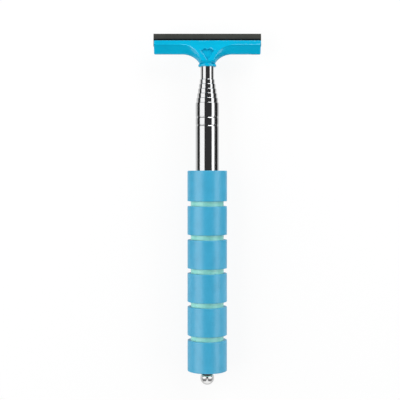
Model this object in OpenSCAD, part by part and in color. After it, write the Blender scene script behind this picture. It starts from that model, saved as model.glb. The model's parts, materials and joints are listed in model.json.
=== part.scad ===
// Telescopic window squeegee with a foam grip.
//
// It lies on a table: +Z is up and is the side with the heart recess, +Y runs from the ball
// to the wiping edge, +X runs along the wiping edge. The origin is on the table, under the
// middle of the whole length. Stations along the pole are measured from the ball's end.

/* [Overall] */
// Length with the pole pushed in, from the ball to the wiping edge
overall_len = 310; // [290:1:400]

/* [Foam grip] */
// Outer diameter of the foam
grip_d = 35; // [32:0.2:44]
// Distance from the ball's end to the foam
foam_start = 12.6; // [8:0.1:12.8]
// Length of the foam
foam_len = 177.1; // [172:0.1:200]
// Distance from the ball's end to the middle of the first groove
first_groove = 42.2; // [36:0.1:46]
// Distance between two neighbouring grooves
groove_pitch = 29.6; // [24:0.1:31]
// Width of the grooves at their bottom
groove_w = 4.4; // [2:0.1:7]
// Depth of the grooves, which is the thickness of the outer foam
groove_depth = 2.9; // [1.5:0.1:4]
// Chamfer on the rims of every segment
foam_chamfer = 0.5; // [0.3:0.1:1.2]

/* [Tubes] */
// Outer diameter of the handle tube
handle_tube_d = 20.4; // [20:0.1:24.6]
// Wall of every tube
tube_wall = 0.4; // [0.33:0.01:0.48]
// Step in diameter from one tube to the next
tube_step_d = 1.46; // [1.4:0.01:1.6]
// Distance from the ball's end to the handle tube's mouth
handle_mouth = 249.5; // [240:0.1:252]
// Distance between two neighbouring mouths when pushed in
mouth_step = 4.1; // [3.8:0.1:5]
// How far each tube pulls out
tube_travel = 112; // [80:1:112]
// Running clearance at every tube, measured on the radius
tube_gap = 0.06; // [0.04:0.01:0.08]
// Width of the rolled grooves
bead_w = 1.8; // [1.2:0.1:2.2]
// Distance from a mouth to its first rolled groove
bead_from_mouth = 12.9; // [10:0.1:16]
// Distance between the two rolled grooves at a mouth
bead_spacing = 7.1; // [5:0.1:9]
// Length of the rounded-in mouth
mouth_taper = 1.4; // [0.8:0.1:2]
// Diameter of the locating dimple under the head
dimple_d = 2.4; // [1.6:0.1:3]
// Depth of that dimple
dimple_depth = 0.24; // [0.1:0.02:0.26]
// Distance from the collar's face to the dimple
dimple_from_collar = 5; // [3:0.1:8]

/* [Friction sleeves] */
// Length of the spring sleeve on the foot of each inner tube
sleeve_len = 8; // [5:0.5:10]
// Width of the split in each sleeve
sleeve_split = 1.6; // [1:0.1:3]

/* [Ball end] */
// Diameter of the ball
ball_d = 12.2; // [10.5:0.1:13]
// Diameter of each of the two cord holes through the ball
cord_hole_d = 4; // [3:0.1:4.2]
// Wall between the two cord holes
cord_bridge = 1.1; // [0.8:0.1:1.5]
// Diameter of the stud that holds the ball
stud_d = 3; // [2.5:0.1:4]
// Length of the end plug inside the tube
plug_len = 12; // [8:0.5:20]
// Thickness of the end plug's flange
plug_flange = 1.2; // [0.8:0.1:2]
// Distance from the stud's end to the plug's end
stud_recess = 1; // [0.5:0.1:3]

/* [Head] */
// Width of the plastic head
head_w = 93.6; // [80:0.2:120]
// Height of the arms, along the pole
arm_h = 11.6; // [10.6:0.1:14]
// Height of the jaw, the thick upper band of the arms
jaw_h = 3.9; // [3.4:0.1:5.6]
// Thickness of the jaw
jaw_t = 12.6; // [9:0.1:14]
// Thickness of the arms at their lower edge
arm_edge_t = 5; // [4:0.1:6]
// Chamfer along the jaw's rims
jaw_chamfer = 0.9; // [0.5:0.1:1.2]
// Chamfer along the arms' lower edge
edge_chamfer = 0.8; // [0.4:0.1:1.2]
// Distance from the lower edge of the arms to the collar
neck_h = 8.9; // [8:0.1:12]
// Wall of the neck around the tube
neck_wall = 1; // [0.9:0.05:2]
// Height of the collar at the tube's mouth
collar_h = 2; // [1.6:0.1:4]
// How far the collar stands out from the neck
collar_lip = 1.1; // [0.8:0.1:2.5]
// Wall of the neck over the tube's end
neck_cap = 1.2; // [0.8:0.1:2]
// Half width at which the neck's outline meets the arms
neck_spread = 22; // [18:0.5:28]
// Half width at which the raised web meets the jaw
web_spread = 24; // [20:0.5:30]
// Thickness of the raised web where it is highest
web_t = 16; // [15.4:0.1:18]
// Distance from the collar to the web's highest line
web_shoulder = 3; // [2:0.1:4]
// Bevel at the mouth of the jaw's groove
mouth_bevel = 0.6; // [0.3:0.1:1]
// Depth of the tube's socket, from the collar's face
socket_depth = 6; // [5:0.5:6.5]
// Width of the heart recess
heart_w = 9.2; // [8:0.1:10]
// Depth of the heart recess
heart_depth = 1.5; // [0.3:0.05:1.6]

/* [Rubber blade] */
// Width of the rubber
rubber_w = 94.6; // [82:0.2:122]
// How far the lip stands out of the jaw
lip_h = 6.5; // [4:0.1:8]
// Thickness of the rubber's neck between the jaw's lips
rubber_neck_t = 2; // [1.6:0.1:2.4]
// Distance from the jaw to the shoulder of the lip
shoulder_h = 1.5; // [0.6:0.1:2]
// Height of the slope that makes the shoulder
shoulder_step = 0.3; // [0.1:0.1:0.6]
// Thickness of the lip at its shoulder
lip_t = 3.4; // [2.6:0.1:4]
// Thickness of the lip at the wiping edge
edge_t = 1.4; // [0.6:0.1:1.8]
// Thickness of the bead that holds the rubber in the jaw
bead_t = 4.2; // [3.6:0.1:4.8]
// Height of the bead
bead_h = 2.6; // [2:0.1:3]
// Height of the jaw's lips over the bead
jaw_lip = 2; // [1.6:0.1:2.4]
// Clearance around the rubber inside the jaw
rubber_gap = 0.1; // [0.05:0.05:0.2]

/* [Hidden] */
INNER_TUBES = [2, 3, 4, 5, 6, 7];
SEGMENTS = [1, 2, 3, 4, 5, 6];
round_fn = 96;
cut = 0.5;            // how far a cutting shape reaches past what it cuts
fine = 0.02;          // play between pieces that are fixed together
overlap = 2;          // how far the neck's flank reaches into the arms
foot_land = 1;        // from a tube's foot to the edge of the groove that holds its sleeve

chrome = "#c9ccd0";
cyan = "#00b4dc";
black = "#3c3c38";
blue = "#48a8cc";
mint = "#84d3cd";

// Radii of the tubes, counted from the handle tube, which is number 1
function tube_r(n) = handle_tube_d / 2 - (n - 1) * tube_step_d / 2;
function bore_r(n) = tube_r(n) - tube_wall;

// Stations along the pole
lip_station = overall_len - lip_h;
arm_low = lip_station - arm_h;
collar_top = arm_low - neck_h;
collar_low = collar_top - collar_h;
socket_end = collar_low + socket_depth;
jaw_low = lip_station - jaw_h;
plug_face = ball_d;
tube_start = plug_face + plug_flange;
foam_end = foam_start + foam_len;
stud_end = tube_start + plug_len - stud_recess;
function mouth(n) = handle_mouth + (n - 1) * mouth_step;
function upper_bead(n) = mouth(n) - bead_from_mouth;
function lower_bead(n) = upper_bead(n) - bead_spacing;
// An inner tube's sleeve meets its parent's lower groove after the full travel
function foot(n) = lower_bead(n - 1) - bead_w / 2 - tube_travel - sleeve_len;
// The groove that locates each sleeve, counted from the tube's foot
foot_bead = foot_land + bead_w / 2;
// The groove in the handle tube that tube 2 rests on
stop_station = foot(2) - bead_w / 2 - fine;
// A groove's depth leaves the tube inside its running clearance
bead_depth = tube_step_d / 2 - tube_wall - tube_gap;

// The grooves part the outer foam into its segments
function groove(n) = first_groove + (n - 1) * groove_pitch;
function segment_start(n) = n == 1 ? foam_start : groove(n - 1) + groove_w / 2;
function segment_end(n) = n == len(SEGMENTS) ? foam_end : groove(n) - groove_w / 2;

// Radius of the ball whose cap of the dimple's depth is as wide as the dimple
dimple_ball_r = (dimple_d * dimple_d / 4 + dimple_depth * dimple_depth) / (2 * dimple_depth);

grip_r = grip_d / 2;
core_r = grip_r - groove_depth;
neck_r = tube_r(7) + fine + neck_wall;
collar_r = neck_r + collar_lip;

// The sweep of the neck and of its web
curve_steps = 16;
neck_pull = 0.59;     // how far along the arm the neck's sweep begins, as a share of its spread
neck_swell = 0.4;     // how far the neck widens in its first third
flank_t = 9.8;        // thickness of the neck's flank at the collar
web_foot = 4.4;       // half width of the web at the collar
web_swell = 2.8;      // how far the web widens on its way to the arms

lobe_share = 0.27;    // radius of the heart's lobes, as a share of its width
point_share = 0.6;    // distance from the heart's middle to its point, as a share of its width
heart_drop = 0.3;     // distance from the arms' lower edge down to the heart's middle

// Stations of the bead that holds the rubber
bead_top = lip_station - jaw_lip;
bead_bottom = bead_top - bead_h;

// Places what is drawn around the pole: x stays, y is the station, z the height over the axis
module on_pole() {
    translate([0, -overall_len / 2, grip_r]) children();
}

// A turned piece: the outline holds [radius, station] points
module turned(outline) {
    on_pole() rotate([-90, 0, 0]) rotate_extrude($fn = round_fn) polygon(outline);
}

// A piece cut from a plate: stations and widths in the outline, height over the axis as given
module plate(half_t) {
    translate([0, 0, -half_t]) linear_extrude(2 * half_t) children();
}

// A bar of constant section along the wiping edge: the outline holds [station, height] points
module bar(width, outline) {
    translate([-width / 2, 0, 0]) rotate([90, 0, 90]) linear_extrude(width) polygon(outline);
}

// Points on a cubic curve
function curve(a, b, c, d, steps) = [
    for (i = [0:steps])
        let (t = i / steps, u = 1 - t)
        u * u * u * a + 3 * u * u * t * b + 3 * u * t * t * c + t * t * t * d
];

// The same points with the other sign of x, in reverse order
function mirrored(points) = [
    for (i = [len(points) - 1:-1:0]) [-points[i][0], points[i][1]]
];

// One rolled groove as outline points, at radius r, centred on a station
function rolled(r, station, w) = [
    [r, station - w / 2], [r - bead_depth, station - w / 4],
    [r - bead_depth, station + w / 4], [r, station + w / 2]
];

function backwards(points) = [for (i = [len(points) - 1:-1:0]) points[i]];

// A tube's outline: the grooves press the wall inwards, and the mouth is rounded in
function tube_outline(n, from, to, beads, taper) =
    let (
        outer = [
            [tube_r(n), from],
            for (b = beads) each rolled(tube_r(n), b, bead_w),
            [tube_r(n), to - taper],
            [tube_r(n) - (taper > 0 ? bead_depth : 0), to]
        ],
        inner = [
            [bore_r(n), from],
            for (b = beads) each rolled(bore_r(n), b, bead_w),
            [bore_r(n), to - taper],
            [bore_r(n) - (taper > 0 ? bead_depth : 0), to]
        ]
    )
    concat(outer, backwards(inner));

module handle_tube() {
    color(chrome)
        turned(tube_outline(1, tube_start, mouth(1),
            [stop_station, lower_bead(1), upper_bead(1)], mouth_taper));
}

// Tubes 2 to 6 are alike, apart from their size and place
module inner_tube(n) {
    color(chrome)
        turned(tube_outline(n, foot(n), mouth(n),
            [foot(n) + foot_bead, lower_bead(n), upper_bead(n)], mouth_taper));
}

// The thinnest tube carries the head, and has a locating dimple just under it
module tube_7() {
    color(chrome) difference() {
        turned(tube_outline(7, foot(7), socket_end - fine, [foot(7) + foot_bead], 0));
        on_pole()
            translate([0, collar_low - dimple_from_collar, tube_r(7) + dimple_ball_r - dimple_depth])
            sphere(dimple_ball_r, $fn = 48);
    }
}

// A split sleeve on the foot of an inner tube, with running clearance in the tube around it
module friction_sleeve(n) {
    r_in = tube_r(n) + fine;
    r_out = bore_r(n - 1) - tube_gap;
    color(chrome) difference() {
        turned([
            [r_in, foot(n)], [r_out, foot(n)],
            [r_out, foot(n) + sleeve_len], [r_in, foot(n) + sleeve_len]
        ]);
        on_pole()
            translate([-sleeve_split / 2, foot(n) - cut, -r_out - cut])
            cube([sleeve_split, sleeve_len + 2 * cut, r_out + cut]);
    }
}

// The mint layer runs the whole length of the grip
module foam_core() {
    color(mint) turned([
        [handle_tube_d / 2 + fine, foam_start], [core_r, foam_start],
        [core_r, foam_end], [handle_tube_d / 2 + fine, foam_end]
    ]);
}

module foam_segment(n) {
    from = segment_start(n);
    to = segment_end(n);
    r_in = core_r + fine;
    color(blue) turned([
        [r_in, from], [grip_r - foam_chamfer, from], [grip_r, from + foam_chamfer],
        [grip_r, to - foam_chamfer], [grip_r - foam_chamfer, to], [r_in, to]
    ]);
}

// The plug closes the handle tube and holds the ball's stud
module end_plug() {
    r_hole = stud_d / 2 + fine;
    r_spigot = bore_r(1) - fine;
    color(black) turned([
        [r_hole, plug_face], [tube_r(1), plug_face], [tube_r(1), tube_start - fine],
        [r_spigot, tube_start - fine], [r_spigot, tube_start + plug_len],
        [r_hole, tube_start + plug_len]
    ]);
}

module end_ball() {
    hole_x = cord_bridge / 2 + cord_hole_d / 2;
    color(chrome) difference() {
        on_pole() translate([0, ball_d / 2, 0]) rotate([-90, 0, 0]) {
            sphere(d = ball_d, $fn = round_fn);
            cylinder(d = stud_d, h = stud_end - ball_d / 2, $fn = 48);
        }
        on_pole() for (side = [-1, 1])
            translate([side * hole_x, ball_d / 2, -ball_d])
            cylinder(d = cord_hole_d, h = 2 * ball_d, $fn = 48);
    }
}

// Outline of the neck below the arms: it sweeps from the arms down to the collar
function neck_side() = curve(
    [neck_spread, arm_low], [neck_spread * neck_pull, arm_low],
    [neck_r + neck_swell, collar_top + neck_h / 3], [neck_r, collar_top], curve_steps);

// Outline of the raised web on the front and the back
function web_side() = curve(
    [web_spread, jaw_low], [web_spread / 2, jaw_low],
    [web_foot + web_swell, arm_low], [web_foot, collar_top], curve_steps);

// Half of the section through an arm, from the lower edge round to the jaw's mouth
function arm_section() = [
    [arm_low, -arm_edge_t / 2 + edge_chamfer], [arm_low + edge_chamfer, -arm_edge_t / 2],
    [jaw_low, -jaw_t / 2], [lip_station - jaw_chamfer, -jaw_t / 2],
    [lip_station, -jaw_t / 2 + jaw_chamfer], [lip_station, jaw_t / 2 - jaw_chamfer],
    [lip_station - jaw_chamfer, jaw_t / 2], [jaw_low, jaw_t / 2],
    [arm_low + edge_chamfer, arm_edge_t / 2], [arm_low, arm_edge_t / 2 - edge_chamfer]
];

// The same outline on both sides of the blade's middle plane
function both_sides(half) = concat(
    [for (p = half) [p[0], -p[1]]],
    [for (i = [len(half) - 1:-1:0]) half[i]]
);

// Section of the rubber: a bead in the jaw, a neck, and the lip with its shoulder
rubber_section = both_sides([
    [bead_bottom, bead_t / 2], [bead_top, bead_t / 2],
    [bead_top, rubber_neck_t / 2], [lip_station + shoulder_h, rubber_neck_t / 2],
    [lip_station + shoulder_h + shoulder_step, lip_t / 2], [overall_len, edge_t / 2]
]);

// Section of the jaw's groove, which clears the rubber all round
slot_section = both_sides([
    [bead_bottom - rubber_gap, bead_t / 2 + rubber_gap],
    [bead_top + rubber_gap, bead_t / 2 + rubber_gap],
    [bead_top + rubber_gap, rubber_neck_t / 2 + rubber_gap],
    [lip_station - mouth_bevel, rubber_neck_t / 2 + rubber_gap],
    [lip_station + cut, rubber_neck_t / 2 + rubber_gap + mouth_bevel + cut]
]);

// A heart from two round lobes and a point, its width given, its middle at the origin
module heart(w) {
    lobe = w * lobe_share;
    lobe_at = w / 2 - lobe;
    // the flanks start where the lobes face down and outwards at this angle
    lean = 48;
    touch = [lobe_at + lobe * cos(lean), lobe_at - lobe * sin(lean)];
    for (side = [-1, 1])
        translate([side * lobe_at, lobe_at]) circle(lobe, $fn = 48);
    polygon([[0, -w * point_share], touch, [lobe_at, lobe_at], [-lobe_at, lobe_at], [-touch[0], touch[1]]]);
}

module squeegee_head() {
    skirt = neck_side();
    web = web_side();
    crest = collar_top + web_shoulder;
    neck_end = arm_low + overlap;
    ramp = atan((web_t - jaw_t) / 2 / (jaw_low - crest));
    color(cyan) difference() {
        on_pole() union() {
            bar(head_w, arm_section());
            // the neck's flank, thicker towards the tube
            intersection() {
                plate(neck_r) polygon(concat(skirt, mirrored(skirt),
                    [[-neck_spread, neck_end], [neck_spread, neck_end]]));
                bar(3 * neck_spread, [
                    [collar_top - cut, -flank_t / 2], [collar_top - cut, flank_t / 2],
                    [neck_end, arm_edge_t / 2], [neck_end, -arm_edge_t / 2]
                ]);
            }
            // the raised web from the jaw down to the collar
            intersection() {
                plate(web_t / 2) polygon(concat(web, mirrored(web)));
                bar(3 * web_spread, [
                    [collar_top, -neck_r], [collar_top, neck_r], [crest, web_t / 2],
                    [jaw_low, jaw_t / 2], [jaw_low, -jaw_t / 2], [crest, -web_t / 2]
                ]);
            }
            // round neck and collar
            translate([0, collar_low, 0]) rotate([-90, 0, 0]) {
                cylinder(r = neck_r, h = socket_depth + neck_cap, $fn = round_fn);
                cylinder(r = collar_r, h = collar_h, $fn = round_fn);
            }
        }
        on_pole() {
            bar(head_w + 2 * cut, slot_section);
            translate([0, collar_low - cut, 0]) rotate([-90, 0, 0])
                cylinder(r = tube_r(7) + fine, h = socket_depth + cut, $fn = round_fn);
            // the recess follows the web, which rises from the jaw to the neck
            translate([0, crest, web_t / 2])
                rotate([-ramp, 0, 0])
                translate([0, arm_low - heart_drop - crest, -heart_depth])
                linear_extrude(heart_depth + cut) heart(heart_w);
        }
    }
}

module rubber_blade() {
    color(black) on_pole() bar(rubber_w, rubber_section);
}

squeegee_head();
rubber_blade();
handle_tube();
tube_7();
foam_core();
end_plug();
end_ball();
for (n = [2:6])
    inner_tube(n);
for (n = INNER_TUBES)
    friction_sleeve(n);
for (n = SEGMENTS)
    foam_segment(n);
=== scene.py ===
"""Looks of the telescopic window squeegee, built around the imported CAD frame.

Every round piece is turned around the pole's axis, which runs along +Y. The head and the
rubber are lofted along the wiping edge, which runs along +X. Lengths are in metres, and
the small details are named in millimetres through MM.
"""

import json
import math

import bmesh
import bpy
from mathutils import Matrix, Vector, geometry, noise

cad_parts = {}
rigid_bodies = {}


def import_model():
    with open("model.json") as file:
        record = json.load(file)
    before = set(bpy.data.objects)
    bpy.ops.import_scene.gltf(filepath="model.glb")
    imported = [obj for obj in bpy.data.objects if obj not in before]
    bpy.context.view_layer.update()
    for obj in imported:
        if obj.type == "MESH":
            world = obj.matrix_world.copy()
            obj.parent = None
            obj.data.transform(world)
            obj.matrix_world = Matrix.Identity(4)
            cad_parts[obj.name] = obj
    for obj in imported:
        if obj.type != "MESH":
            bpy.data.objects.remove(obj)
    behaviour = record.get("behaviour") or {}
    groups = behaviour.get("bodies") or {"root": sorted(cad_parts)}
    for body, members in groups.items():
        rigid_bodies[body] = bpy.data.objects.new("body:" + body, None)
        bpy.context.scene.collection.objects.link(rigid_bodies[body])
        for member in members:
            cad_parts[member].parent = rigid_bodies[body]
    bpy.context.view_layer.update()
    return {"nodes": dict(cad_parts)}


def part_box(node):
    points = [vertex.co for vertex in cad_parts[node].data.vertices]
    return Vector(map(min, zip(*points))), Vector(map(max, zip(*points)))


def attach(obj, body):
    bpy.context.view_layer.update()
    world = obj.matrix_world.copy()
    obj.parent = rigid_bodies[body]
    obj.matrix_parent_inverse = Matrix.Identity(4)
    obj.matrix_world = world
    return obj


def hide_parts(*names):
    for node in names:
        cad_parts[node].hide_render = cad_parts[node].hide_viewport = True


MM = 0.001
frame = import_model()

# ---------------------------------------------------------------- sizes taken from the frame
HANDLE_LOW, HANDLE_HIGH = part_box("handle_tube")
HEAD_LOW, HEAD_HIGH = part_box("squeegee_head")
RUBBER_LOW, RUBBER_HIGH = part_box("rubber_blade")
CORE_LOW, CORE_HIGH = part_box("foam_core")
BALL_LOW, BALL_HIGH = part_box("end_ball")
PLUG_LOW, PLUG_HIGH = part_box("end_plug")
AXIS_Z = (HANDLE_LOW.z + HANDLE_HIGH.z) / 2
SEGMENTS = range(1, 7)
TUBES = range(1, 8)
TUBE_NODES = {n: "handle_tube" if n == 1 else f"tube_{n}" for n in TUBES}

# ---------------------------------------------------------------- details of the tubes
WALL = 0.4 * MM
BEAD_DEPTH = 0.27 * MM
BEAD_WIDTH = 1.8 * MM
BEAD_FROM_MOUTH = 12.9 * MM
BEAD_SPACING = 7.1 * MM
FOOT_BEAD = 1.9 * MM
GROOVE_GUARD = 0.62
MOUTH_TAPER = 1.4 * MM
DIMPLE_R = 1.2 * MM
DIMPLE_DEPTH = 0.24 * MM
DIMPLE_FROM_COLLAR = 5 * MM
ROUND_STEPS = 144

# ---------------------------------------------------------------- details of the head
ARM_H = 11.6 * MM
JAW_H = 3.9 * MM
JAW_T = 12.6 * MM
ARM_EDGE_T = 5.0 * MM
NECK_H = 8.9 * MM
NECK_R = 6.84 * MM
COLLAR_H = 2.0 * MM
COLLAR_R = 7.94 * MM
NECK_SPREAD = 22.0 * MM
WEB_SPREAD = 24.0 * MM
WEB_FOOT = 4.4 * MM
WEB_T = 16.0 * MM
WEB_SHOULDER = 3.0 * MM
HEART_W = 9.2 * MM
HEART_POINT = 0.6
HEART_DROP = 0.3 * MM
HEART_DEPTH = 1.5 * MM
HEART_RIM = 0.18 * MM
HEART_RIM_OFF = 0.55 * MM
HEART_RIM_SPREAD = 0.4 * MM
HEART_WALL = 0.35 * MM
HEART_LOBE = 0.27
HEART_LEAN_DEG = 48
CREASE_BEAD = 0.28 * MM
CREASE_SPREAD = 0.5 * MM
NECK_PULL = 0.59
NECK_SWELL = 0.4 * MM
WEB_SWELL = 2.8 * MM
FLANK_EDGE = 1.2 * MM
FLANK_ROUND = 0.5 * MM
LEAST_FLANK = 0.7 * MM
NECK_INTO_COLLAR = 0.4 * MM
JAW_ROUND = 0.9 * MM
HEAD_END_R = 0.8 * MM
COLLAR_PLAY = 0.03 * MM
COLLAR_ROUND = 0.7 * MM
COLLAR_NECK_H = 2.2 * MM
LIP_Y = HEAD_HIGH.y
ARM_Y = LIP_Y - ARM_H
JAW_Y = LIP_Y - JAW_H
NECK_Y = ARM_Y - NECK_H
CREST_Y = NECK_Y + WEB_SHOULDER
HEAD_HALF_W = (HEAD_HIGH.x - HEAD_LOW.x) / 2

# ---------------------------------------------------------------- details of the rubber
SLOT_NECK_T = 2.2 * MM
SLOT_BEAD_T = 4.4 * MM
SLOT_LIP_H = 1.9 * MM
SLOT_BOTTOM = 4.7 * MM
SLOT_BEVEL = 0.6 * MM
RUBBER_NECK_T = 2.0 * MM
RUBBER_BEAD_T = 4.2 * MM
BEAD_TOP = 2.0 * MM
BEAD_BOTTOM = 4.6 * MM
SHOULDER_H = 1.5 * MM
SHOULDER_STEP = 0.3 * MM
LIP_T = 3.4 * MM
EDGE_T = 1.4 * MM
RUBBER_END_R = 0.25 * MM
LIP_WAVE = 0.12 * MM

# ---------------------------------------------------------------- details of the ball
BALL_R = (BALL_HIGH.z - BALL_LOW.z) / 2
BALL_Y = BALL_LOW.y + BALL_R
HOLE_R = 2.0 * MM
HOLE_X = 2.55 * MM
HOLE_ROUND = 0.35 * MM
STUD_R = 1.5 * MM
STUD_CHAMFER = 0.3 * MM
AXIS_GAP = 0.0001 * MM

# ---------------------------------------------------------------- details of the end plug
PLUG_HOLE_R = 1.55 * MM
PLUG_PLAY = 0.05 * MM
PLUG_TO_TUBE = 0.02 * MM
PLUG_STEP = 0.35 * MM

# ---------------------------------------------------------------- details of the foam
FOAM_RIM = 0.55 * MM
FOAM_WAVE = 0.05 * MM
FOAM_PLAY = 0.05 * MM
FOAM_INNER_RIM = 0.15 * MM
FOAM_ROW = 1.6 * MM
FOAM_ROUND_STEPS = 160
CORE_RIM = 0.3 * MM
CORE_SEED = 11
SKIN_DEPTH = 0.5 * MM

# ---------------------------------------------------------------- light, stage and camera
# A lamp's brightness is named twice: for everything, and for the chrome, which mirrors it.
KEY, KEY_IN_CHROME = 2.35, 1.05
FILL, FILL_IN_CHROME = 2.2, 1.2
TOP, TOP_IN_CHROME = 4.8, 3.2
# Each softbox: name, degrees across and along the pole, half angles, its two brightnesses.
SOFTBOXES = (
    ("key_left", -53.5, 0, 25, 32, KEY, KEY_IN_CHROME),
    ("fill_right", 60, 0, 14.5, 32, FILL, FILL_IN_CHROME),
    ("top_right", 38, 60, 18, 17, TOP, TOP_IN_CHROME),
)
SOFTBOX_DISTANCE = 1.0
LAMP_Y = 0.02
AMBIENT = 0.35
DARK_SURROUND = (0.035, 0.035, 0.036, 1)
FLOOR_HALF = 4.0
FLOOR_IN_CHROME = 0.62
FLOOR_GLOW_SHARE = 0.88
DARK_CARDS = (("dark_ground_left", -1, 0.054), ("dark_ground_right", 1, 0.040))
DARK_CARD_FAR = 1.5
DARK_CARD_Y = (-0.05, 1)
DARK_CARD_Z = 0.0006
PALE_CARD_HALF = 0.09
PALE_CARD_NEAR = (-0.172, 0.15)
PALE_CARD_FAR = (-0.26, 0.001)
LENS = 90
SENSOR = 36
AIM = Vector((-0.0064, 0.0088, 0))
CAMERA_OFFSET = Vector((0.0, 0.022, 0.883))


# ================================================================ mesh helpers
def smooth_step(t):
    """0 below 0, 1 above 1, and a smooth rise between them."""
    t = min(1.0, max(0.0, t))
    return t * t * (3 - 2 * t)


def mix(a, b, t):
    return a + (b - a) * t


def bezier(points, steps):
    """Points on the cubic curve with these four control points."""
    a, b, c, d = (Vector(p) for p in points)
    found = []
    for i in range(steps + 1):
        t = i / steps
        u = 1 - t
        found.append(u**3 * a + 3 * u * u * t * b + 3 * u * t * t * c + t**3 * d)
    return found


def filleted(corners, steps=4):
    """A closed outline from (x, y, radius) corners, each rounded by about its radius."""
    out = []
    count = len(corners)
    for i, (x, y, radius) in enumerate(corners):
        here = Vector((x, y))
        back = Vector(corners[i - 1][:2]) - here
        ahead = Vector(corners[(i + 1) % count][:2]) - here
        reach = min(radius, back.length * 0.49, ahead.length * 0.49)
        if reach <= 0:
            out.append(here)
            continue
        start = here + back.normalized() * reach
        end = here + ahead.normalized() * reach
        for k in range(steps + 1):
            t = k / steps
            out.append((1 - t) ** 2 * start + 2 * t * (1 - t) * here + t * t * end)
    return out


def make_object(name, verts, faces, sharp_deg=38):
    """A mesh object with smooth faces and sharp edges where the surface really turns."""
    mesh = bpy.data.meshes.new(name)
    mesh.from_pydata([tuple(v) for v in verts], [], faces)
    mesh.validate()
    work = bmesh.new()
    work.from_mesh(mesh)
    bmesh.ops.remove_doubles(work, verts=work.verts, dist=1e-7)
    bmesh.ops.recalc_face_normals(work, faces=work.faces)
    limit = math.radians(sharp_deg)
    for face in work.faces:
        face.smooth = True
    for edge in work.edges:
        edge.smooth = len(edge.link_faces) == 2 and edge.calc_face_angle(0) < limit
    work.to_mesh(mesh)
    work.free()
    obj = bpy.data.objects.new(name, mesh)
    bpy.context.scene.collection.objects.link(obj)
    return obj


def turned(name, outline, steps=ROUND_STEPS, shape=None, sharp_deg=38):
    """A piece turned around the pole's axis from a closed outline of (radius, y) points.

    shape(radius, y, angle) may return a slightly different radius.
    """
    verts = []
    for k in range(steps):
        angle = 2 * math.pi * k / steps
        for radius, y in outline:
            r = shape(radius, y, angle) if shape else radius
            verts.append((r * math.sin(angle), y, AXIS_Z + r * math.cos(angle)))
    rows = len(outline)
    faces = []
    for k in range(steps):
        here, there = k * rows, (k + 1) % steps * rows
        for j in range(rows):
            nxt = (j + 1) % rows
            faces.append((here + j, there + j, there + nxt, here + nxt))
    return make_object(name, verts, faces, sharp_deg)


def lofted(name, sections, sharp_deg=38):
    """A solid through closed sections that all have the same number of points."""
    rows = len(sections[0])
    verts = [p for section in sections for p in section]
    faces = []
    for i in range(len(sections) - 1):
        for j in range(rows):
            nxt = (j + 1) % rows
            a, b = i * rows, (i + 1) * rows
            faces.append((a + j, b + j, b + nxt, a + nxt))
    for i in (0, len(sections) - 1):
        ring = [Vector(p) for p in sections[i]]
        for tri in geometry.tessellate_polygon([ring]):
            faces.append(tuple(i * rows + k for k in tri))
    return make_object(name, verts, faces, sharp_deg)


def inset(section, amount):
    """The closed outline of (y, h) points moved inwards by amount."""
    count = len(section)
    ahead = section[1:] + section[:1]
    area = sum(a[0] * b[1] - b[0] * a[1] for a, b in zip(section, ahead))
    side = 1 if area > 0 else -1
    out = []
    for i in range(count):
        before = Vector(section[i - 1])
        after = Vector(section[(i + 1) % count])
        along = (after - before).normalized()
        y, h = section[i]
        out.append((y - side * along.y * amount, h + side * along.x * amount))
    return out


def end_columns(half, radius, steps=5):
    """(x, inset) pairs that round the end of a bar, from the full section outwards."""
    found = []
    for k in range(steps + 1):
        a = math.pi / 2 * k / steps
        found.append((half - radius + radius * math.sin(a), radius * (1 - math.cos(a))))
    return found


# ================================================================ materials
def new_material(name):
    """A new material, with its nodes, its links and its Principled shader."""
    made = bpy.data.materials.new(name)
    made.use_nodes = True
    nodes = made.node_tree.nodes
    return made, nodes, made.node_tree.links, nodes["Principled BSDF"]


def coordinates(nodes, links, scale):
    """Object coordinates, stretched by scale (x, y, z)."""
    source = nodes.new("ShaderNodeTexCoord")
    stretch = nodes.new("ShaderNodeMapping")
    stretch.inputs["Scale"].default_value = scale
    links.new(source.outputs["Object"], stretch.inputs["Vector"])
    return stretch.outputs["Vector"]


def noise_node(nodes, links, vector, scale, detail=4, rough=0.55):
    node = nodes.new("ShaderNodeTexNoise")
    node.inputs["Scale"].default_value = scale
    node.inputs["Detail"].default_value = detail
    node.inputs["Roughness"].default_value = rough
    links.new(vector, node.inputs["Vector"])
    return node.outputs["Fac"]


def ramp_node(nodes, links, value, stops):
    """A colour ramp through (position, colour) stops."""
    node = nodes.new("ShaderNodeValToRGB")
    band = node.color_ramp
    while len(band.elements) < len(stops):
        band.elements.new(0.5)
    for element, (position, colour) in zip(band.elements, stops):
        element.position = position
        element.color = (*colour, 1)
    links.new(value, node.inputs["Fac"])
    return node.outputs["Color"]


def range_node(nodes, links, value, low, high):
    """value from 0..1 spread over low..high."""
    node = nodes.new("ShaderNodeMapRange")
    node.inputs["To Min"].default_value = low
    node.inputs["To Max"].default_value = high
    links.new(value, node.inputs["Value"])
    return node.outputs["Result"]


def bump_node(nodes, links, heights, shader):
    """Chains bumps from (value, distance, strength) onto the shader's normal."""
    normal = None
    for value, distance, strength in heights:
        node = nodes.new("ShaderNodeBump")
        node.inputs["Distance"].default_value = distance
        node.inputs["Strength"].default_value = strength
        links.new(value, node.inputs["Height"])
        if normal is not None:
            links.new(normal, node.inputs["Normal"])
        normal = node.outputs["Normal"]
    links.new(normal, shader.inputs["Normal"])


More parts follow.
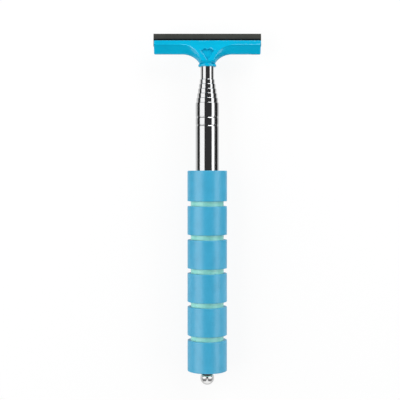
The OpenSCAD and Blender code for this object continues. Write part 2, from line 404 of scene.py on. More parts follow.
def plastic_material():
    """Semi-gloss cyan moulding: even colour, faint flow marks and orange peel."""
    made, nodes, links, shader = new_material("cyan_plastic")
    where = coordinates(nodes, links, (1, 1, 1))
    flow = noise_node(nodes, links, where, 60, 3)
    grain = noise_node(nodes, links, where, 1800, 5)
    colour = ramp_node(
        nodes, links, flow, [(0.3, (0.0, 0.385, 0.615)), (0.7, (0.0, 0.42, 0.66))]
    )
    links.new(colour, shader.inputs["Base Color"])
    links.new(range_node(nodes, links, grain, 0.12, 0.19), shader.inputs["Roughness"])
    shader.inputs["Specular IOR Level"].default_value = 0.4
    bump_node(nodes, links, [(flow, 0.00008, 0.25), (grain, 0.00002, 0.25)], shader)
    return made


def rubber_material():
    """Dark rubber with fine lines along the extrusion and a dusty bloom; the neck below the
    shoulder is painted near black as painted shade.
    """
    made, nodes, links, shader = new_material("black_rubber")
    along = coordinates(nodes, links, (0.02, 1, 1))
    lines = noise_node(nodes, links, along, 2600, 3)
    bloom = noise_node(nodes, links, coordinates(nodes, links, (1, 1, 1)), 140, 5)
    colour = ramp_node(
        nodes, links, bloom, [(0.3, (0.030, 0.032, 0.028)), (0.75, (0.042, 0.044, 0.038))]
    )
    # painted shade: the neck under the shoulder is painted near black, standing in for the shadow
    # in the gap at the jaw's mouth
    split = nodes.new("ShaderNodeSeparateXYZ")
    links.new(coordinates(nodes, links, (1, 1, 1)), split.inputs[0])
    painted_shade_mask = nodes.new("ShaderNodeMapRange")
    painted_shade_mask.inputs["From Min"].default_value = LIP_Y + SHOULDER_H + 0.35 * MM
    painted_shade_mask.inputs["From Max"].default_value = LIP_Y + SHOULDER_H + 0.75 * MM
    links.new(split.outputs["Y"], painted_shade_mask.inputs["Value"])
    painted_shade_mix = nodes.new("ShaderNodeMix")
    painted_shade_mix.data_type = "RGBA"
    painted_shade_mix.inputs["A"].default_value = (0.012, 0.012, 0.012, 1)
    links.new(painted_shade_mask.outputs["Result"], painted_shade_mix.inputs["Factor"])
    links.new(colour, painted_shade_mix.inputs["B"])
    links.new(painted_shade_mix.outputs["Result"], shader.inputs["Base Color"])
    links.new(range_node(nodes, links, bloom, 0.5, 0.66), shader.inputs["Roughness"])
    shader.inputs["Specular IOR Level"].default_value = 0.2
    bump_node(nodes, links, [(lines, 0.00003, 0.3)], shader)
    return made


def chrome_material(name, tint, rough):
    """Polished plated steel: faint polishing lines round the tube and a few soft smudges."""
    made, nodes, links, shader = new_material(name)
    where = coordinates(nodes, links, (1, 1, 1))
    rings = noise_node(nodes, links, coordinates(nodes, links, (0.05, 1, 0.05)), 1500, 4)
    smudge = noise_node(nodes, links, where, 55, 5)
    colour = ramp_node(
        nodes, links, smudge, [(0.3, tuple(c * 0.965 for c in tint)), (0.7, tint)]
    )
    links.new(colour, shader.inputs["Base Color"])
    shader.inputs["Metallic"].default_value = 1
    polish = range_node(nodes, links, smudge, rough * 0.7, rough * 1.5)
    links.new(polish, shader.inputs["Roughness"])
    bump_node(nodes, links, [(rings, 0.000006, 0.18)], shader)
    return made


def ball_material():
    """The same plating on the ball; its two drilled holes are painted nearly black inside, as
    painted shade.
    """
    made, nodes, links, shader = new_material("ball_chrome")
    where = coordinates(nodes, links, (1, 1, 1))
    smudge = noise_node(nodes, links, where, 90, 5)
    plated = ramp_node(
        nodes, links, smudge, [(0.3, (0.89, 0.89, 0.885)), (0.7, (0.93, 0.93, 0.925))]
    )
    # painted shade: the plating turns nearly black within the two cord holes
    flat = coordinates(nodes, links, (1, 1, 0))
    nearest = None
    for side in (-1, 1):
        reach = nodes.new("ShaderNodeVectorMath")
        reach.operation = "DISTANCE"
        reach.inputs[1].default_value = (side * HOLE_X, BALL_Y, 0)
        links.new(flat, reach.inputs[0])
        if nearest is None:
            nearest = reach.outputs["Value"]
            continue
        least = nodes.new("ShaderNodeMath")
        least.operation = "MINIMUM"
        links.new(nearest, least.inputs[0])
        links.new(reach.outputs["Value"], least.inputs[1])
        nearest = least.outputs[0]
    outside = nodes.new("ShaderNodeMapRange")
    outside.inputs["From Min"].default_value = HOLE_R + 0.05 * MM
    outside.inputs["From Max"].default_value = HOLE_R + 0.2 * MM
    links.new(nearest, outside.inputs["Value"])
    painted_shade_mix = nodes.new("ShaderNodeMix")
    painted_shade_mix.data_type = "RGBA"
    painted_shade_mix.inputs["A"].default_value = (0.045, 0.04, 0.042, 1)
    links.new(outside.outputs["Result"], painted_shade_mix.inputs["Factor"])
    links.new(plated, painted_shade_mix.inputs["B"])
    links.new(painted_shade_mix.outputs["Result"], shader.inputs["Base Color"])
    shader.inputs["Metallic"].default_value = 1
    links.new(range_node(nodes, links, smudge, 0.05, 0.11), shader.inputs["Roughness"])
    return made


def foam_material(name, low, high, cell_scale):
    """Closed-cell foam: mottled colour, fine pits between the cells and a soft sheen."""
    made, nodes, links, shader = new_material(name)
    where = coordinates(nodes, links, (1, 1, 1))
    mottle = noise_node(nodes, links, where, 130, 6, 0.6)
    speckle = noise_node(nodes, links, where, cell_scale * 0.9, 3)
    both = nodes.new("ShaderNodeMath")
    both.operation = "MULTIPLY_ADD"
    both.inputs[1].default_value = 0.55
    links.new(mottle, both.inputs[0])
    share = nodes.new("ShaderNodeMath")
    share.operation = "MULTIPLY"
    share.inputs[1].default_value = 0.45
    links.new(speckle, share.inputs[0])
    links.new(share.outputs[0], both.inputs[2])
    colour = ramp_node(nodes, links, both.outputs[0], [(0.34, low), (0.64, high)])
    links.new(colour, shader.inputs["Base Color"])
    cells = nodes.new("ShaderNodeTexVoronoi")
    cells.inputs["Scale"].default_value = cell_scale
    links.new(where, cells.inputs["Vector"])
    links.new(range_node(nodes, links, speckle, 0.3, 0.42), shader.inputs["Roughness"])
    shader.inputs["Specular IOR Level"].default_value = 0.8
    shader.inputs["Sheen Weight"].default_value = 0.1
    shader.inputs["Sheen Roughness"].default_value = 0.5
    bump_node(
        nodes,
        links,
        [(mottle, 0.0002, 0.3), (cells.outputs["Distance"], 0.00012, 0.35)],
        shader,
    )
    return made


def moulded_black_material():
    """Matt black moulding of the end plug."""
    made, nodes, links, shader = new_material("plug_plastic")
    grain = noise_node(nodes, links, coordinates(nodes, links, (1, 1, 1)), 1500, 4)
    colour = ramp_node(
        nodes, links, grain, [(0.3, (0.018, 0.018, 0.02)), (0.7, (0.03, 0.03, 0.033))]
    )
    links.new(colour, shader.inputs["Base Color"])
    links.new(range_node(nodes, links, grain, 0.4, 0.55), shader.inputs["Roughness"])
    bump_node(nodes, links, [(grain, 0.00003, 0.3)], shader)
    return made


def brass_material():
    """Spring brass of the hidden friction sleeves."""
    made, nodes, links, shader = new_material("sleeve_brass")
    grain = noise_node(nodes, links, coordinates(nodes, links, (1, 0.1, 1)), 900, 4)
    colour = ramp_node(
        nodes, links, grain, [(0.3, (0.55, 0.38, 0.14)), (0.7, (0.68, 0.5, 0.22))]
    )
    links.new(colour, shader.inputs["Base Color"])
    shader.inputs["Metallic"].default_value = 1
    links.new(range_node(nodes, links, grain, 0.25, 0.4), shader.inputs["Roughness"])
    return made


CHROME = chrome_material("tube_chrome", (0.86, 0.865, 0.87), 0.07)
BALL_CHROME = ball_material()
PLASTIC = plastic_material()
RUBBER = rubber_material()
BLUE_FOAM = foam_material("blue_foam", (0.024, 0.325, 0.535), (0.038, 0.385, 0.615), 1500)
MINT_FOAM = foam_material("mint_foam", (0.245, 0.69, 0.585), (0.315, 0.78, 0.67), 1500)
BLACK = moulded_black_material()
BRASS = brass_material()


def placed(obj, material, body, slot, *nodes):
    """Gives a finished piece its material and its body, and hides the nodes it stands for. The
    slot argument is not used.
    """
    obj.data.materials.clear()
    obj.data.materials.append(material)
    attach(obj, body)
    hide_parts(*nodes)
    return obj


# ================================================================ tubes
def rolled_groove(radius, y):
    """One rolled groove's outline: a soft round hollow between two points of plain tube."""
    guard = BEAD_WIDTH * GROOVE_GUARD
    points = [(radius, y - guard)]
    for k in range(13):
        t = k / 12
        depth = BEAD_DEPTH * math.sin(math.pi * t) ** 1.5
        points.append((radius - depth, y + BEAD_WIDTH * (t - 0.5)))
    return points + [(radius, y + guard)]


def mouth_curve(radius, y):
    """The rounded-in end of a tube: a quarter of an ellipse."""
    points = [(radius, y - MOUTH_TAPER - 0.3 * MM)]
    for k in range(9):
        a = math.pi / 2 * k / 8
        inwards = BEAD_DEPTH * (1 - math.cos(a))
        points.append((radius - inwards, y - MOUTH_TAPER * (1 - math.sin(a))))
    return points


def tube_outline(n, low, high):
    """Both faces of a tube's wall, with its grooves and its rounded mouth."""
    radius = (high.x - low.x) / 2
    beads = [low.y + FOOT_BEAD]
    if n < 7:
        beads += [high.y - BEAD_FROM_MOUTH - BEAD_SPACING, high.y - BEAD_FROM_MOUTH]

    def face(r):
        points = [(r, low.y + 0.1 * MM)]
        for y in beads:
            points += rolled_groove(r, y)
        points += mouth_curve(r, high.y) if n < 7 else [(r, high.y)]
        return points

    outer, inner = face(radius), face(radius - WALL)
    rim = []
    if n < 7:
        # the cut end of the wall is slightly rounded
        edge = outer[-1][0]
        rim = [(edge - WALL * 0.5, high.y + 0.03 * MM)]
    return outer + rim + inner[::-1]


def dimple(radius, y, angle):
    """Presses the locating dimple into the top of the thinnest tube."""
    centre_y = HEAD_LOW.y - DIMPLE_FROM_COLLAR
    off = math.hypot(radius * math.atan2(math.sin(angle), math.cos(angle)), y - centre_y)
    if off >= DIMPLE_R:
        return radius
    return radius - DIMPLE_DEPTH * (1 - (off / DIMPLE_R) ** 2)


def build_tubes():
    for n in TUBES:
        node = TUBE_NODES[n]
        low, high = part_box(node)
        outline = tube_outline(n, low, high)
        if n == 7:
            centre_y = HEAD_LOW.y - DIMPLE_FROM_COLLAR
            radius, half = (high.x - low.x) / 2, len(outline) // 2
            fine = [(radius, centre_y + DIMPLE_R * k / 8) for k in range(-9, 10)]
            outline = outline[: half - 1] + fine + outline[half - 1 :]
        shape = dimple if n == 7 else None
        steps = ROUND_STEPS * 2 if n == 7 else ROUND_STEPS
        piece = turned(f"chrome_{node}", outline, steps, shape)
        body = "grip" if n == 1 else "head" if n == 7 else f"section_{n}"
        placed(piece, CHROME, body, "tube_chrome", node)


# ================================================================ foam grip
def foam_wave(seed, radius, y, angle, amount):
    """The uneven skin of ground foam, as a small change of radius."""
    at = Vector((math.cos(angle) * 1.6, math.sin(angle) * 1.6, y * 90 + seed * 7.3))
    return radius + amount * noise.noise(at)


def rounded_foam(low_y, high_y, r_in, r_out, rim):
    """Outline of a foam ring: the rims ground round, the inner edges almost square."""
    corners = [
        (r_in, low_y, FOAM_INNER_RIM),
        (r_out, low_y, rim),
        (r_out, high_y, rim),
        (r_in, high_y, FOAM_INNER_RIM),
    ]
    outline = filleted(corners, 6)
    dense = []
    for i, here in enumerate(outline):
        nxt = outline[(i + 1) % len(outline)]
        cuts = max(1, int((nxt - here).length / FOAM_ROW))
        dense += [here.lerp(nxt, k / cuts) for k in range(cuts)]
    return [(p.x, p.y) for p in dense]


def build_foam():
    core_r = (CORE_HIGH.x - CORE_LOW.x) / 2
    tube_r = (HANDLE_HIGH.x - HANDLE_LOW.x) / 2
    for n in SEGMENTS:
        low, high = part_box(f"foam_segment_{n}")
        outer_r = (high.x - low.x) / 2 - FOAM_WAVE
        outline = rounded_foam(low.y, high.y, core_r + FOAM_PLAY, outer_r, FOAM_RIM)

        def skin(radius, y, angle, seed=n):
            if radius < core_r + SKIN_DEPTH:
                return radius
            return foam_wave(seed, radius, y, angle, FOAM_WAVE)

        piece = turned(f"blue_foam_{n}", outline, FOAM_ROUND_STEPS, skin)
        placed(piece, BLUE_FOAM, "grip", "foam_blue", f"foam_segment_{n}")
    outline = rounded_foam(CORE_LOW.y, CORE_HIGH.y, tube_r + FOAM_PLAY, core_r, CORE_RIM)

    def core_skin(radius, y, angle):
        if radius < core_r - SKIN_DEPTH:
            return radius
        return foam_wave(CORE_SEED, radius - FOAM_WAVE, y, angle, FOAM_WAVE)

    core = turned("mint_foam_core", outline, FOAM_ROUND_STEPS, core_skin)
    placed(core, MINT_FOAM, "grip", "foam_mint", "foam_core")


# ================================================================ ball end
def hole_cutter(x, centre_y, ball_r):
    """A cutter for one cord hole: it flares at both mouths, so that their rims come out round."""
    wall_end = math.sqrt(ball_r**2 - HOLE_X**2)
    profile = []
    for side in (-1, 1):
        steps = range(7) if side < 0 else range(6, -1, -1)
        for k in steps:
            a = math.pi / 2 * k / 6
            flare = HOLE_ROUND * (1 - math.sin(a))
            z = wall_end - HOLE_ROUND * 2 * (1 - math.cos(a))
            profile.append((HOLE_R + flare, side * z))
    profile = [(profile[0][0], -ball_r * 2)] + profile + [(profile[-1][0], ball_r * 2)]
    verts, faces, steps = [], [], 64
    for k in range(steps):
        a = 2 * math.pi * k / steps
        for r, z in profile:
            verts.append((x + r * math.cos(a), centre_y + r * math.sin(a), AXIS_Z + z))
    rows = len(profile)
    for k in range(steps):
        here, there = k * rows, (k + 1) % steps * rows
        for j in range(rows - 1):
            faces.append((here + j, there + j, there + j + 1, here + j + 1))
    faces.append(tuple(k * rows for k in range(steps))[::-1])
    faces.append(tuple(k * rows + rows - 1 for k in range(steps)))
    return make_object("cutter", verts, faces)


def cut_away(piece, cutters):
    """Cuts the cutters out of a piece, applies the result and removes the cutters."""
    for cutter in cutters:
        step = piece.modifiers.new("cut", "BOOLEAN")
        step.object = cutter
        step.operation = "DIFFERENCE"
        step.solver = "EXACT"
    graph = bpy.context.evaluated_depsgraph_get()
    mesh = bpy.data.meshes.new_from_object(piece.evaluated_get(graph))
    piece.modifiers.clear()
    piece.data = mesh
    for cutter in cutters:
        bpy.data.objects.remove(cutter)
    work = bmesh.new()
    work.from_mesh(piece.data)
    for face in work.faces:
        face.smooth = True
    for edge in work.edges:
        edge.smooth = len(edge.link_faces) == 2 and edge.calc_face_angle(0) < math.radians(30)
    work.to_mesh(piece.data)
    work.free()


def build_ball():
    outline = [(AXIS_GAP, BALL_LOW.y)]
    rings = 72
    for k in range(1, rings):
        a = math.pi * k / rings
        r, y = BALL_R * math.sin(a), BALL_Y - BALL_R * math.cos(a)
        if y > BALL_Y and r < STUD_R:
            break
        outline.append((r, y))
    outline += [
        (STUD_R, PLUG_LOW.y),
        (STUD_R, BALL_HIGH.y - STUD_CHAMFER),
        (STUD_R - STUD_CHAMFER, BALL_HIGH.y),
        (AXIS_GAP, BALL_HIGH.y),
    ]
    ball = turned("chrome_end_ball", outline, 128)
    cut_away(ball, [hole_cutter(side * HOLE_X, BALL_Y, BALL_R) for side in (-1, 1)])
    placed(ball, BALL_CHROME, "grip", "ball_chrome", "end_ball")


def build_plug():
    low, high = PLUG_LOW, PLUG_HIGH
    flange_r = (high.x - low.x) / 2
    flange_y = HANDLE_LOW.y - PLUG_TO_TUBE
    spigot_r = flange_r - WALL - PLUG_PLAY
    outline = filleted(
        [
            (PLUG_HOLE_R, low.y, 0.3 * MM),
            (flange_r * 0.62, low.y, 0.2 * MM),
            (flange_r * 0.66, low.y + PLUG_STEP, 0.2 * MM),
            (flange_r * 0.84, low.y + PLUG_STEP, 0.2 * MM),
            (flange_r * 0.88, low.y, 0.2 * MM),
            (flange_r, low.y, 0.35 * MM),
            (flange_r, flange_y, 0),
            (spigot_r, flange_y, 0),
            (spigot_r, high.y, 0.4 * MM),
            (PLUG_HOLE_R, high.y, 0.2 * MM),
        ]
    )
    plug = turned("end_plug_moulding", [(p.x, p.y) for p in outline], 96)
    placed(plug, BLACK, "grip", "plug_plastic", "end_plug")


# ================================================================ head
NECK_CURVE = bezier(
    [
        (NECK_SPREAD, ARM_Y, 0),
        (NECK_SPREAD * NECK_PULL, ARM_Y, 0),
        (NECK_R + NECK_SWELL, NECK_Y + NECK_H / 3, 0),
        (NECK_R, NECK_Y, 0),
    ],
    60,
)
CREASE_CURVE = bezier(
    [
        (WEB_SPREAD, JAW_Y, 0),
        (WEB_SPREAD / 2, JAW_Y, 0),
        (WEB_FOOT + WEB_SWELL, ARM_Y, 0),
        (WEB_FOOT, NECK_Y, 0),
    ],
    60,
)


def station_on(curve, x, outside, inside):
    """The curve's y at a distance x from the middle, where x falls along the curve."""
    if x >= curve[0].x:
        return outside
    if x <= curve[-1].x:
        return inside
    for a, b in zip(curve, curve[1:]):
        if a.x >= x >= b.x:
            return mix(a.y, b.y, (a.x - x) / max(1e-12, a.x - b.x))
    return inside


def heart_distance(x, y):
    """Roughly how far (x, y) lies inside the heart's edge; negative outside."""
    lobe = HEART_W * HEART_LOBE
    lobe_x = HEART_W / 2 - lobe
    lean = math.radians(HEART_LEAN_DEG)
    u = abs(x)
    in_lobe = lobe - math.hypot(u - lobe_x, y - lobe_x)
    touch = (lobe_x + lobe * math.cos(lean), lobe_x - lobe * math.sin(lean))
    tip = (0.0, -HEART_W * HEART_POINT)
    dx, dy = touch[0] - tip[0], touch[1] - tip[1]
    length = math.hypot(dx, dy)
    in_point = ((y - tip[1]) * dx - (u - tip[0]) * dy) / length
    below_lobes = min(in_point, lobe_x - y + lobe * 0.3)
    return max(in_lobe, below_lobes)


def web_height(x, y):
    """Half the thickness of the head's raised web, away from its bevelled flanks."""
    if y >= JAW_Y:
        return JAW_T / 2
    if y >= CREST_Y:
        return mix(JAW_T / 2, WEB_T / 2, (JAW_Y - y) / (JAW_Y - CREST_Y))
    ring = math.sqrt(max(0.0, NECK_R**2 - min(abs(x), NECK_R) ** 2))
    return mix(ring, WEB_T / 2, smooth_step((y - NECK_Y) / WEB_SHOULDER) ** 0.7)


def flank_heights(low_y, crease_y, x, steps):
    """(y, half thickness) points up the bevelled flank, from the lower edge to the crease."""
    neckness = smooth_step((NECK_SPREAD - abs(x)) / (NECK_SPREAD - WEB_FOOT))
    top = web_height(x, crease_y)
    edge = mix(ARM_EDGE_T / 2, FLANK_EDGE, neckness)
    points = []
    for k in range(5):
        a = math.pi / 2 * k / 4
        points.append((low_y + FLANK_ROUND * (1 - math.cos(a)), edge * math.sin(a)))
    start_y = points[-1][0]
    for k in range(1, steps + 1):
        t = k / steps
        flat, rounded = t, math.sqrt(1 - (1 - t) ** 2)
        points.append((mix(start_y, crease_y, t), mix(edge, top, mix(flat, rounded, neckness))))
    return points


def head_side(x, face):
    """One face of the head's section at x: (y, half thickness) from the lower edge to the slot."""
    low_y = station_on(NECK_CURVE, abs(x), ARM_Y, NECK_Y - NECK_INTO_COLLAR)
    crease_y = station_on(CREASE_CURVE, abs(x), JAW_Y, low_y)
    flank_steps, web_steps = 22, 84
    crease_y = max(crease_y, low_y + LEAST_FLANK)
    points = flank_heights(low_y, crease_y, x, flank_steps)
    top_y = LIP_Y - JAW_ROUND
    for k in range(1, web_steps + 1):
        y = mix(crease_y, top_y, k / web_steps)
        h = web_height(x, y) + CREASE_BEAD * math.exp(-(((y - crease_y) / CREASE_SPREAD) ** 2))
        if face > 0:
            inside = heart_distance(x, y - ARM_Y + HEART_DROP)
            h -= HEART_DEPTH * smooth_step(inside / HEART_WALL + 0.5)
            h += HEART_RIM * math.exp(-(((inside + HEART_RIM_OFF) / HEART_RIM_SPREAD) ** 2))
        points.append((y, h))
    for k in range(1, 6):
        a = math.pi / 2 * k / 5
        points.append((top_y + JAW_ROUND * math.sin(a), JAW_T / 2 - JAW_ROUND * (1 - math.cos(a))))
    edge, mouth = JAW_T / 2 - JAW_ROUND, SLOT_NECK_T / 2 + SLOT_BEVEL
    points += [(LIP_Y, mix(edge, mouth, k / 4)) for k in range(1, 5)]
    points += [
        (LIP_Y - 0.25 * MM, SLOT_NECK_T / 2 + 0.2 * MM),
        (LIP_Y - SLOT_BEVEL, SLOT_NECK_T / 2),
        (LIP_Y - SLOT_LIP_H, SLOT_NECK_T / 2),
        (LIP_Y - SLOT_LIP_H, SLOT_BEAD_T / 2),
        (LIP_Y - SLOT_BOTTOM, SLOT_BEAD_T / 2),
        (LIP_Y - SLOT_BOTTOM, SLOT_BEAD_T / 6),
    ]
    return points


def head_section(x):
    """The closed section of the head at x: the front face and back face as one loop."""
    front = head_side(x, 1)
    back = head_side(x, -1)
    return front + [(y, -h) for y, h in back[::-1][:-1]]


def head_columns():
    """Where the sections lie: dense over the neck and the heart, wide along the arms."""
    columns = [0.0]
    while columns[-1] < HEAD_HALF_W - 1.8 * MM:
        x = columns[-1]
        gap = 0.2 * MM if x < 8 * MM else 0.4 * MM if x < 25 * MM else 1.4 * MM
        columns.append(x + gap)
    return columns


def head_body():
    """The lofted moulding, its ends rounded."""
    inner = head_columns()
    ends = end_columns(HEAD_HALF_W, HEAD_END_R)
    right = [(x, 0.0) for x in inner] + ends
    both = [(-x, amount) for x, amount in right[:0:-1]] + right
    sections = []
    for x, amount in both:
        outline = head_section(x)
        if amount > 0:
            outline = inset(outline, amount)
        sections.append([(x, y, AXIS_Z + h) for y, h in outline])
    return lofted("head_body", sections)


def collar_ring():
    """The round collar at the tube's mouth, and the round neck inside the web."""
    tube_low, tube_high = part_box("tube_7")
    tube_r = (tube_high.x - tube_low.x) / 2 + COLLAR_PLAY
    low = HEAD_LOW.y
    corners = [
        (tube_r, low, 0.3 * MM),
        (COLLAR_R, low, COLLAR_ROUND),
        (COLLAR_R, low + COLLAR_H, COLLAR_ROUND),
        (NECK_R - 0.05 * MM, low + COLLAR_H + 0.4 * MM, 0.5 * MM),
        (NECK_R - 0.25 * MM, low + COLLAR_H + COLLAR_NECK_H, 0.5 * MM),
        (tube_r, low + COLLAR_H + COLLAR_NECK_H, 0.1 * MM),
    ]
    return turned("head_collar", [(p.x, p.y) for p in filleted(corners, 6)], 128)


def join(name, parts):
    """Several closed shells as one piece."""
    work = bmesh.new()
    for part in parts:
        work.from_mesh(part.data)
        bpy.data.objects.remove(part)
    mesh = bpy.data.meshes.new(name)
    work.to_mesh(mesh)
    work.free()
    obj = bpy.data.objects.new(name, mesh)
    bpy.context.scene.collection.objects.link(obj)
    return obj


def build_head():
    head = join("cyan_head", [head_body(), collar_ring()])
    placed(head, PLASTIC, "head", "head_plastic", "squeegee_head")


# ================================================================ rubber blade
def rubber_outline():
    """Closed section of the rubber as (y, h): bead, neck, shoulder and tapered lip."""
    half = [
        (LIP_Y - BEAD_BOTTOM, RUBBER_BEAD_T / 2, 0.4 * MM),
        (LIP_Y - BEAD_TOP, RUBBER_BEAD_T / 2, 0.4 * MM),
        (LIP_Y - BEAD_TOP, RUBBER_NECK_T / 2, 0.15 * MM),
        (LIP_Y + SHOULDER_H, RUBBER_NECK_T / 2, 0.3 * MM),
        (LIP_Y + SHOULDER_H + SHOULDER_STEP, LIP_T / 2, 0.35 * MM),
        (RUBBER_HIGH.y, EDGE_T / 2, 0.12 * MM),
    ]
    return filleted(half + [(y, -h, r) for y, h, r in half[::-1]], 5)


def build_rubber():
    half_w = (RUBBER_HIGH.x - RUBBER_LOW.x) / 2
    outline = [(p.x, p.y) for p in rubber_outline()]
    ends = end_columns(half_w, RUBBER_END_R, 4)
    span = half_w - RUBBER_END_R
    middle = [(span * k / 48, 0.0) for k in range(48)]
    right = middle + ends
    both = [(-x, amount) for x, amount in right[:0:-1]] + right
    sections = []
    for x, amount in both:
        ring = inset(outline, amount) if amount > 0 else outline
        # the lip waves a little, more towards its free edge
        wave = LIP_WAVE * noise.noise(Vector((x * 60, 3.1, 0.4)))
        section = []
        for y, h in ring:
            free = smooth_step((y - LIP_Y) / (RUBBER_HIGH.y - LIP_Y))
            section.append((x, y, AXIS_Z + h + wave * free))
        sections.append(section)
    rubber = lofted("rubber_lip", sections)
    placed(rubber, RUBBER, "head", "rubber", "rubber_blade")


# ================================================================ stage, light and camera
def floor_material():
    """White ground that keeps a soft shadow. Its own glow makes it white to the camera."""
    made, nodes, links, shader = new_material("studio_floor")
    nodes.remove(shader)
    output = nodes["Material Output"]
    diffuse = nodes.new("ShaderNodeBsdfDiffuse")
    diffuse.inputs["Color"].default_value = (0.9, 0.9, 0.9, 1)
    glow = nodes.new("ShaderNodeEmission")
    glow.inputs["Strength"].default_value = 1.0
    dim = nodes.new("ShaderNodeEmission")
    dim.inputs["Strength"].default_value = FLOOR_IN_CHROME
    ray = nodes.new("ShaderNodeLightPath")
    share = nodes.new("ShaderNodeMath")
    share.operation = "MULTIPLY"
    share.inputs[1].default_value = FLOOR_GLOW_SHARE
    seen = nodes.new("ShaderNodeMixShader")
    links.new(ray.outputs["Is Glossy Ray"], seen.inputs[0])
    links.new(diffuse.outputs[0], seen.inputs[1])
    links.new(dim.outputs[0], seen.inputs[2])
    both = nodes.new("ShaderNodeMixShader")
    links.new(ray.outputs["Is Camera Ray"], share.inputs[0])
    links.new(share.outputs[0], both.inputs[0])
    links.new(seen.outputs[0], both.inputs[1])
    links.new(glow.outputs[0], both.inputs[2])
    links.new(both.outputs[0], output.inputs["Surface"])
    return made


def flat_material(name, colour, strength):
    """A card's even glow. A dark colour makes a card that reflects as nearly black."""
    made, nodes, links, shader = new_material(name)
    nodes.remove(shader)
    glow = nodes.new("ShaderNodeEmission")
    glow.inputs["Color"].default_value = (*colour, 1)
    glow.inputs["Strength"].default_value = strength
    links.new(glow.outputs[0], nodes["Material Output"].inputs["Surface"])
    return made


def plane(name, corners, material):
    mesh = bpy.data.meshes.new(name)
    mesh.from_pydata(corners, [], [tuple(range(len(corners)))])
    mesh.materials.append(material)
    obj = bpy.data.objects.new(name, mesh)
    bpy.context.scene.collection.objects.link(obj)
    return obj


def only_in_reflections(obj):
    """The card shows in glossy reflections, and nowhere else."""
    obj.visible_camera = False
    obj.visible_diffuse = False
    obj.visible_shadow = False
    obj.visible_transmission = False


def build_stage():
    size = FLOOR_HALF
    floor = [(-size, -size, 0), (size, -size, 0), (size, size, 0), (-size, size, 0)]
    plane("studio_floor", floor, floor_material())
    # dark cards either side of the strip of floor under the pole make the chrome's dark lines
    dark = flat_material("dark_card", (0.02, 0.02, 0.02), 1)
    (low_y, high_y), z = DARK_CARD_Y, DARK_CARD_Z
    for name, side, near in DARK_CARDS:
        low_x, high_x = sorted((side * near, side * DARK_CARD_FAR))
        card = [(low_x, low_y, z), (high_x, low_y, z), (high_x, high_y, z), (low_x, high_y, z)]
        only_in_reflections(plane(name, card, dark))
    # a small pale card beyond the ball, too near the ball for the rest to see it
    pale = flat_material("pale_card", (1, 1, 1), 0.9)
    half = PALE_CARD_HALF
    card = [(-half, *PALE_CARD_FAR), (half, *PALE_CARD_FAR)]
    card += [(half, *PALE_CARD_NEAR), (-half, *PALE_CARD_NEAR)]
    only_in_reflections(plane("pale_card_at_the_ball", card, pale))


def softbox(name, across_deg, along_deg, half_across, half_along, distance, radiance):
    """An area light seen from the pole at these angles from the vertical, towards +X and +Y."""
    toward = Vector((math.tan(math.radians(across_deg)), math.tan(math.radians(along_deg)), 1))
    away = toward.normalized()
    lamp = bpy.data.lights.new(name, "AREA")
    lamp.shape = "RECTANGLE"
    lamp.size = 2 * distance * math.tan(math.radians(half_across))
    lamp.size_y = 2 * distance * math.tan(math.radians(half_along))
    lamp.energy = radiance * math.pi * lamp.size * lamp.size_y
    obj = bpy.data.objects.new(name, lamp)
    obj.location = Vector((0, LAMP_Y, AXIS_Z)) + away * distance
    side = Vector((0, 1, 0)).cross(away).normalized()
    up = away.cross(side)
    obj.matrix_world = Matrix.LocRotScale(
        obj.location, Matrix((side, up, away)).transposed(), None
    )
    obj.visible_camera = False
    bpy.context.scene.collection.objects.link(obj)
    return obj


def light_only(lamp, pieces, state):
    """The lamp lights these pieces alone (INCLUDE), or everything but them (EXCLUDE)."""
    group = bpy.data.collections.new(f"{lamp.name}_pieces")
    for piece in pieces:
        group.objects.link(piece)
    for entry in group.collection_objects:
        entry.light_linking.link_state = state
    lamp.light_linking.receiver_collection = group


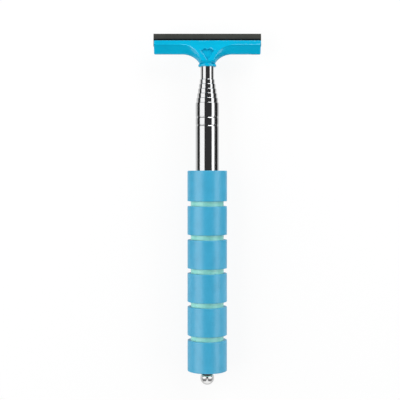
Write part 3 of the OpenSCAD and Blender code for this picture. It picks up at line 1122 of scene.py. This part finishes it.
def build_light():
    """Three softboxes. A mirror shows a lamp's own brightness, so the chrome gets dimmer twins."""
    chrome = [o for o in bpy.context.scene.objects if o.name.startswith("chrome_")]
    for name, across, along, half_across, half_along, strong, mild in SOFTBOXES:
        box = (across, along, half_across, half_along, SOFTBOX_DISTANCE)
        light_only(softbox(name, *box, strong), chrome, "EXCLUDE")
        light_only(softbox(f"{name}_on_chrome", *box, mild), chrome, "INCLUDE")
    world = bpy.data.worlds.new("studio")
    bpy.context.scene.world = world
    world.use_nodes = True
    nodes, links = world.node_tree.nodes, world.node_tree.links
    ray = nodes.new("ShaderNodeLightPath")
    ambient = nodes["Background"]
    ambient.inputs["Color"].default_value = (1, 1, 1, 1)
    ambient.inputs["Strength"].default_value = AMBIENT
    white = nodes.new("ShaderNodeBackground")
    white.inputs["Color"].default_value = (1, 1, 1, 1)
    white.inputs["Strength"].default_value = 1.0
    dark = nodes.new("ShaderNodeBackground")
    dark.inputs["Color"].default_value = DARK_SURROUND
    first = nodes.new("ShaderNodeMixShader")
    second = nodes.new("ShaderNodeMixShader")
    links.new(ray.outputs["Is Glossy Ray"], first.inputs[0])
    links.new(ambient.outputs[0], first.inputs[1])
    links.new(dark.outputs[0], first.inputs[2])
    links.new(ray.outputs["Is Camera Ray"], second.inputs[0])
    links.new(first.outputs[0], second.inputs[1])
    links.new(white.outputs[0], second.inputs[2])
    links.new(second.outputs[0], nodes["World Output"].inputs["Surface"])


def build_camera():
    """Above the pole and a little towards the head, with a long lens."""
    data = bpy.data.cameras.new("camera")
    data.lens = LENS
    data.sensor_width = SENSOR
    data.clip_start = 0.05
    data.clip_end = 20
    obj = bpy.data.objects.new("camera", data)
    aim = AIM + Vector((0, 0, AXIS_Z))
    obj.location = aim + CAMERA_OFFSET
    obj.rotation_euler = (-math.atan2(CAMERA_OFFSET.y, CAMERA_OFFSET.z), 0, 0)
    bpy.context.scene.collection.objects.link(obj)
    bpy.context.scene.camera = obj


def dress_hidden_nodes():
    """The friction sleeves stay as CAD pieces inside the tubes."""
    for n in range(2, 8):
        sleeve = frame["nodes"][f"friction_sleeve_{n}"]
        sleeve.data.materials.clear()
        sleeve.data.materials.append(BRASS)


bpy.context.scene.view_settings.view_transform = "Standard"
build_camera()
build_tubes()
build_foam()
build_ball()
build_plug()
build_head()
build_rubber()
dress_hidden_nodes()
build_stage()
build_light()
